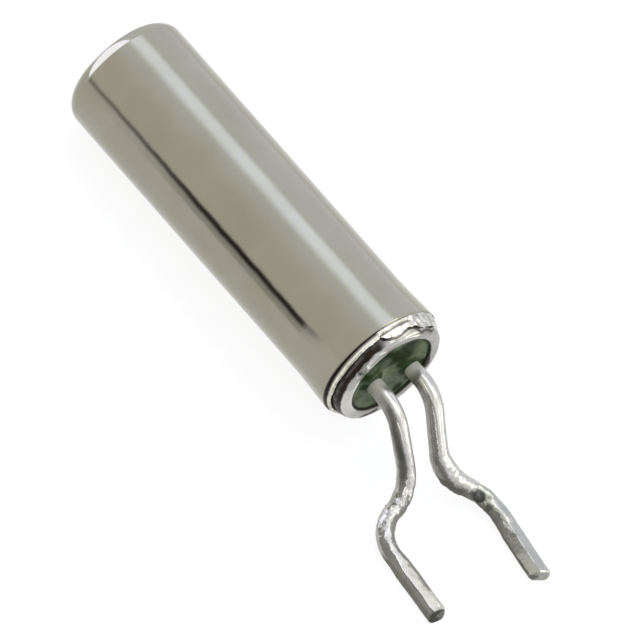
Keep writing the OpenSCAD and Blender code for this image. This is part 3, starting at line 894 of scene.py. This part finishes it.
def times(tree, a, b):
    return maths(tree, "MULTIPLY", a, b)


def window(tree, value, fadeIn, fadeOut):
    # 1 between the two fades and 0 outside them
    return times(tree, band(tree, value, 0.0, fadeIn), band(tree, value, fadeOut, 1.0, 1.0, 0.0))


def stripMaterial():
    material, tree, u, v, out = cardTree("stripGlow")
    width = band(tree, maths(tree, "ABSOLUTE", maths(tree, "SUBTRACT", v, 0.5)), 0.12, 0.5, 1.0, 0.0)
    share = times(tree, width, window(tree, u, 0.03, 0.8))
    glow = add(tree, "ShaderNodeEmission")
    join(tree, mixColor(tree, share, studio["stripEdge"], studio["strip"]), glow.inputs["Color"])
    join(tree, glow.outputs[0], out.inputs[0])
    return material


def glowCard(name, tone, share):
    # see-through where share is 0, of the given tone where it is 1
    material, tree, u, v, out = cardTree(name)
    glow = add(tree, "ShaderNodeEmission", Color=(*tone, 1))
    clear = add(tree, "ShaderNodeBsdfTransparent")
    blend = add(tree, "ShaderNodeMixShader")
    join(tree, share(tree, u, v), blend.inputs[0])
    join(tree, clear.outputs[0], blend.inputs[1])
    join(tree, glow.outputs[0], blend.inputs[2])
    join(tree, blend.outputs[0], out.inputs[0])
    return material


def softEdges(tree, u, v):
    return times(tree, window(tree, u, 0.1, 0.9), window(tree, v, 0.12, 0.88))


def quarterDisc(tree, u, v):
    out = maths(tree, "SQRT", maths(tree, "ADD", times(tree, u, u), times(tree, v, v)))
    return band(tree, out, 0.94, 1.0, 1.0, 0.0)


# dark line along the can: waves are rate and height; the rest are shares of the card's length and height
lineForm = {"waves": ((61.0, 0.012), (148.0, 0.01)), "climb": (0.166, 0.661), "above": 0.13,
            "wider": (0.22, 0.5), "paleBand": (-0.52, -0.4), "pale": (0.27, 0.1), "coreWider": 0.075,
            "coreBand": (-0.2, -0.03), "gain": (-0.1, 0.6, 0.55, 1.0), "start": (0.0, 0.01),
            "stop": (0.928, 0.948, 1.0, 0.0)}


def lineShare(tree, u, v):
    # a wavering dark core over a paler band; it climbs a little and strengthens towards the leads
    f = lineForm
    waves = [times(tree, maths(tree, "SINE", times(tree, u, rate)), height) for rate, height in f["waves"]]
    middle = maths(tree, "ADD", maths(tree, "MULTIPLY_ADD", u, *f["climb"]), maths(tree, "ADD", *waves))
    height = maths(tree, "SUBTRACT", v, middle)
    above = band(tree, height, 0.0, f["above"], 1.0, 0.0)
    wider = band(tree, u, *f["wider"])
    pale = times(tree, band(tree, height, *f["paleBand"]), maths(tree, "MULTIPLY_ADD", wider, *f["pale"]))
    core = band(tree, maths(tree, "MULTIPLY_ADD", wider, f["coreWider"], height), *f["coreBand"])
    below = maths(tree, "MULTIPLY_ADD", core, maths(tree, "SUBTRACT", 1.0, pale), pale)
    strength = times(tree, band(tree, u, *f["gain"]), band(tree, u, *f["stop"]))
    strength = times(tree, strength, band(tree, u, *f["start"]))
    return times(tree, times(tree, above, below), strength)


def sideShare(tree, u, v):
    fade = times(tree, window(tree, u, 0.03, 0.9), band(tree, v, 0.7, 1.0, 1.0, 0.0))
    return times(tree, fade, 0.95)


# finishes of the cards: tone and pattern
glows = {
    "leadStripGlow": ((4.0, 4.0, 3.9), softEdges), "leadSideGlow": ((1.5, 1.5, 1.5), softEdges),
    "rearGlow": ((2.8, 2.9, 3.6), quarterDisc), "rearFloorGlow": ((1.7, 1.75, 2.1), softEdges),
    "lineDark": ((0.02, 0.017, 0.01), lineShare), "sideDark": ((0.25, 0.245, 0.225), sideShare),
    "floorShade": ((0.32, 0.315, 0.295), softEdges), "footSideGlow": ((0.38, 0.375, 0.35), softEdges),
    "toeRightGlow": ((1.15, 1.14, 1.1), softEdges), "topLeftGlow": ((1.9, 1.9, 1.9), softEdges),
}
# cards seen only in reflections: finish, corner and two edges
cards = {
    "leadStrip": ("leadStripGlow", (6, 2, 62), (39, 0, -34), (0, 31, 0)),
    "bendStrip": ("leadStripGlow", (24, 38, 45), (24, 0, 0), (0, 24, 0)),
    "edgeStrip": ("leadStripGlow", (4.2, 4.0, 1.5), (3.4, 0, 0), (0, 0, 1.9)),
    "streakLeft": ("leadStripGlow", (1.5, -0.3, 1.95), (1.0, 0, 0), (0, 0.15, 0)),
    "streakRight": ("leadStripGlow", (1.5, 0.41, 1.95), (1.0, 0, 0), (0, 0.15, 0)),
    "leadSide": ("leadSideGlow", (12, 40, 0), (90, 0, 0), (0, 0, 85)),
    "rearPanel": ("rearGlow", (-12, 0.8, 0.02), (0, -13.2, 0), (0, 0, 13.2)),
    "rearFloor": ("rearFloorGlow", (-9.2, -0.3, 0.02), (3.45, 0, 0), (0, 2.5, 0)),
    "lineCard": ("lineDark", (-5.45, -2.6, 0.0), (5.5, 0, 0), (0, 0, 1.8)),
    "sideCard": ("sideDark", (1.75, -1.5, 0.0), (4.2, 0, 0), (0, 0, 3.4)),
    "ridgeLeft": ("leadStripGlow", (2.7, -1.25, 1.8), (1.9, 0, 0), (0, 0.34, 0)),
    "ridgeRight": ("leadStripGlow", (2.9, 0.56, 1.8), (1.9, 0, 0), (0, 0.34, 0)),
    "shadeLeft": ("floorShade", (3.2, -2.4, 0.004), (2.6, 0, 0), (0, 2.6, 0)),
    "shadeRight": ("floorShade", (2.6, -0.1, 0.005), (2.1, 0, 0), (0, 1.5, 0)),
    "footLeft": ("footSideGlow", (3.2, -1.45, -0.1), (2.8, 0, 0), (0, 0, 0.9)),
    "footRight": ("footSideGlow", (3.1, -0.2, -0.1), (0.95, 0, 0), (0, 0, 1.15)),
    "toeRight": ("toeRightGlow", (3.98, 0.4, 0.2), (0.8, 0, 0), (0, 0, 0.55)),
    "topLeft": ("topLeftGlow", (2.4, -0.2, 2.0), (1.9, 0, 0), (0, 1.2, 0)),
}


def floorMaterial():
    # shades softly under the object, and shows white to the camera, metal and glass
    material, tree = newTree("floorPaper")
    path = add(tree, "ShaderNodeLightPath")
    seen = maths(tree, "ADD", path.outputs["Is Camera Ray"], path.outputs["Is Glossy Ray"])
    seen = maths(tree, "ADD", seen, path.outputs["Is Transmission Ray"], clamp=True)
    paper = add(tree, "ShaderNodeBsdfDiffuse", Color=(studio["floorDiffuse"],) * 3 + (1,))
    glow = add(tree, "ShaderNodeEmission")
    join(tree, times(tree, seen, studio["floorGlow"]), glow.inputs["Strength"])
    both = add(tree, "ShaderNodeAddShader")
    join(tree, paper.outputs[0], both.inputs[0])
    join(tree, glow.outputs[0], both.inputs[1])
    join(tree, both.outputs[0], add(tree, "ShaderNodeOutputMaterial").inputs[0])
    return material


def makeSky():
    # warmer from the front and cooler from behind; the camera sees plain white
    world = bpy.data.worlds.new("sky")
    world.use_nodes = True
    tree = world.node_tree
    tree.nodes.clear()
    spot = add(tree, "ShaderNodeTexCoord")
    parts = add(tree, "ShaderNodeSeparateXYZ")
    join(tree, spot.outputs["Generated"], parts.inputs[0])
    share = band(tree, parts.outputs[1], *studio["skyBand"])
    sky = mixColor(tree, share, studio["warm"], studio["cool"])
    path = add(tree, "ShaderNodeLightPath")
    back = add(tree, "ShaderNodeBackground", Strength=1.0)
    join(tree, mixColor(tree, path.outputs["Is Camera Ray"], sky, (1, 1, 1)), back.inputs["Color"])
    join(tree, back.outputs[0], add(tree, "ShaderNodeOutputWorld").inputs[0])
    scene.world = world


card("floor", (-600, -600, 0), (1200, 0, 0), (0, 1200, 0), floorMaterial(), allRays)
card("stripLight", (-46, -6, 60), (130, 0, 0), (0, 45, 0), stripMaterial(), ("glossy", "diffuse"))
glowMaterials = {name: glowCard(name, tone, pattern) for name, (tone, pattern) in glows.items()}
for name, (glow, corner, across, upward) in cards.items():
    card(name, corner, across, upward, glowMaterials[glow])
makeSky()
print("studio lit")
